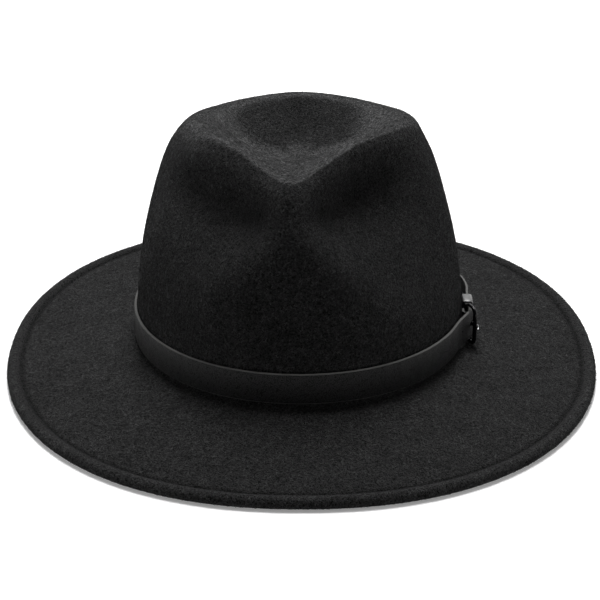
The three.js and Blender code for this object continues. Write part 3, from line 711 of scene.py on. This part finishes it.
grain.links.new(between(grain, cells.outputs["Distance"], 0.0, CREASE_WIDTH), result["Grain"])
grain.links.new(handled.outputs["Fac"], result["Handling"])
print("group", grain.name, "with", len(grain.nodes), "nodes")

# %% [markdown]
# The belt is a strap of dyed leather. Its two faces are black, but its cut edges are paler, because the blade
# bares the core and the light from above falls on them. They are matt as well. Both follow an attribute named
# cut_edge, which marks the faces that look up or down. A lower mark on the edges under the free end keeps
# them dark, as painted shade. The polish lies on the cells of the grain and leaves its creases duller.

# %% The leather
LEATHER_CREASE = (0.0010, 0.0010, 0.0011, 1.0)
LEATHER_FACE = (0.0085, 0.0085, 0.0088, 1.0)
LEATHER_WORN = (0.0135, 0.0135, 0.0140, 1.0)
LEATHER_EDGE = (0.125, 0.125, 0.122, 1.0)
SHADED_EDGE = 0.4
GLOSS_VARIES = (-0.06, 0.08)
GRAIN_HEIGHT = 0.0002
EDGE_DULLER = 0.6


def make_leather(name, roughness, shine, polish, grain_size, grain_depth):
    """Dyed leather with its own gloss and grain. Polish is the clear coat in the creases and on the cells."""
    leather, tree, shader = new_material(name)
    place = add_node(tree, "TexCoord").outputs["Object"]
    skin = use_group(tree, grain, {"Vector": place, "Grain Size": grain_size})
    handled_face = mix_colors(tree, skin.outputs["Handling"], LEATHER_FACE, LEATHER_WORN)
    face = mix_colors(tree, skin.outputs["Grain"], LEATHER_CREASE, handled_face)
    cut = add_node(tree, "Attribute", attribute_name="cut_edge").outputs["Fac"]
    bared = between(tree, cut, 0.5, 1.0)
    tree.links.new(mix_colors(tree, bared, face, LEATHER_EDGE), shader.inputs["Base Color"])
    smoothest, roughest = (roughness + change for change in GLOSS_VARIES)
    gloss = between(tree, skin.outputs["Handling"], 0.3, 0.7, smoothest, roughest)
    matt = between(tree, cut, 0.0, SHADED_EDGE, 0.0, EDGE_DULLER)
    tree.links.new(maths(tree, "ADD", gloss, matt, clamp=True), shader.inputs["Roughness"])
    relief = {"Strength": grain_depth, "Distance": GRAIN_HEIGHT, "Height": skin.outputs["Grain"]}
    bump = add_node(tree, "Bump", relief)
    tree.links.new(bump.outputs["Normal"], shader.inputs["Normal"])
    shader.inputs["Specular IOR Level"].default_value = shine
    coat = between(tree, skin.outputs["Grain"], 0.0, 1.0, *polish)
    uncut = between(tree, cut, SHADED_EDGE, 0.0)
    tree.links.new(maths(tree, "MULTIPLY", coat, uncut), shader.inputs["Coat Weight"])
    shader.inputs["Coat Roughness"].default_value = roughness
    return leather


belt_leather = make_leather(
    "belt leather", roughness=0.42, shine=0.1, polish=(0.1, 0.5), grain_size=1250.0, grain_depth=0.9
)
keeper_leather = make_leather(
    "keeper leather", roughness=0.36, shine=1.0, polish=(0.5, 0.8), grain_size=1400.0, grain_depth=0.04
)
print("leather finishes:", belt_leather.name, "and", keeper_leather.name)

# %% [markdown]
# The strap's corners are slightly rounded from wear. A copy of the solid gets a small bevel on its sharp
# edges. The long thin triangles are joined into flat faces first, so that the bevel runs evenly. Where the
# free end lies over the belt, the lower layer's edge lies in its shadow, so that edge keeps the dark colour
# of the faces, matt and without polish, as painted shade. The lower layer is told from the upper one by its
# distance from the crown's oval.

# %% The belt and its keeper
CROWN_X = -0.001
CROWN_HALF = (0.0847, 0.1021)
TAIL_OFF_FELT = 0.0029
TAIL_REACH = (-0.009, 0.046)
BELT_ROUNDING = 0.00012
KEEPER_ROUNDING = 0.00015
FLAT_WITHIN = math.radians(0.6)


def under_the_tail(place):
    """Tells whether a place is on the layer that the free end of the belt covers."""
    off_felt = (math.hypot((place.x - CROWN_X) / CROWN_HALF[0], place.y / CROWN_HALF[1]) - 1) * CROWN_HALF[0]
    return place.x > 0 and off_felt < TAIL_OFF_FELT and TAIL_REACH[0] < place.y < TAIL_REACH[1]


def mark_cut_edges(piece):
    """Marks the points of faces that look up or down, where the leather was cut; under the free end a lower
    mark paints them in shade.
    """
    values = np.zeros(len(piece.data.vertices), np.float32)
    for face in piece.data.polygons:
        if abs(face.normal.z) > 0.5:
            for i in face.vertices:
                # Under the free end the edge gets a lower mark: painted shade.
                values[i] = SHADED_EDGE if under_the_tail(piece.data.vertices[i].co) else 1.0
    attribute = piece.data.attributes.new("cut_edge", "FLOAT", "POINT")
    attribute.data.foreach_set("value", values)


def rounded_copy(node, name, width, angle):
    """A merged copy whose sharp edges are rounded and whose faces shade smoothly."""
    piece = merged_copy(node, name)
    bpy.ops.object.mode_set(mode="EDIT")
    bpy.ops.mesh.select_all(action="SELECT")
    bpy.ops.mesh.dissolve_limited(angle_limit=FLAT_WITHIN)
    bpy.ops.object.mode_set(mode="OBJECT")
    apply_modifier(piece, "BEVEL", width=width, segments=2, limit_method="ANGLE", angle_limit=angle)
    only(piece)
    bpy.ops.object.shade_smooth_by_angle(angle=math.radians(40))
    return piece


belt_piece = rounded_copy("hat_band", "belt_strap", BELT_ROUNDING, angle=math.radians(35))
mark_cut_edges(belt_piece)
finish_piece(belt_piece, belt_leather, "band_leather", "hat_band")
keeper_piece = rounded_copy("band_keeper", "keeper_loop", KEEPER_ROUNDING, angle=math.radians(50))
finish_piece(keeper_piece, keeper_leather, "band_leather", "band_keeper")

# %% [markdown]
# The buckle is die-cast metal under a glossy black enamel. It is smooth, with faint waves, and it picks up
# small bright reflections of the lamps. Use has polished the prong, so it shines more than the loop. The loop
# is round in section, so a copy is subdivided until it is round.

# %% The enamel
ENAMEL_TONES = [(0.002, 0.002, 0.0025, 1.0), (0.004, 0.004, 0.0045, 1.0)]
WAVE_SCALE = 350.0
WAVE_HEIGHT = 0.0001


def make_enamel(name, shine, coat):
    """Glossy black enamel with its own shine and clear coat."""
    finish, tree, shader = new_material(name)
    place = add_node(tree, "TexCoord").outputs["Object"]
    waves = add_node(tree, "TexNoise", {"Vector": place, "Scale": WAVE_SCALE, "Detail": 2.0})
    tone = mix_colors(tree, waves.outputs["Fac"], *ENAMEL_TONES)
    tree.links.new(tone, shader.inputs["Base Color"])
    tree.links.new(between(tree, waves.outputs["Fac"], 0.3, 0.7, 0.08, 0.14), shader.inputs["Roughness"])
    bump = add_node(tree, "Bump", {"Strength": 0.08, "Distance": WAVE_HEIGHT, "Height": waves.outputs["Fac"]})
    tree.links.new(bump.outputs["Normal"], shader.inputs["Normal"])
    shader.inputs["Specular IOR Level"].default_value = shine
    shader.inputs["Coat Weight"].default_value = coat
    shader.inputs["Coat Roughness"].default_value = 0.06
    return finish


frame_enamel = make_enamel("black enamel", shine=0.15, coat=0.05)
prong_enamel = make_enamel("worn enamel of the prong", shine=1.0, coat=0.9)
print("enamel finishes:", frame_enamel.name, "and", prong_enamel.name)

# %% The buckle
PRONG_ROUNDING = 0.00015


def round_metal(node, name):
    """A merged copy in four-sided faces, rounded by subdivision."""
    piece = merged_copy(node, name)
    bpy.ops.object.mode_set(mode="EDIT")
    bpy.ops.mesh.select_all(action="SELECT")
    bpy.ops.mesh.tris_convert_to_quads(face_threshold=math.radians(60), shape_threshold=math.radians(80))
    bpy.ops.object.mode_set(mode="OBJECT")
    apply_modifier(piece, "SUBSURF", levels=2, render_levels=2)
    bpy.ops.object.shade_smooth()
    return piece


frame_piece = round_metal("buckle_frame", "buckle_loop")
finish_piece(frame_piece, frame_enamel, "buckle_metal", "buckle_frame")
prong_piece = rounded_copy("buckle_prong", "buckle_pin", PRONG_ROUNDING, angle=math.radians(30))
finish_piece(prong_piece, prong_enamel, "buckle_metal", "buckle_prong")
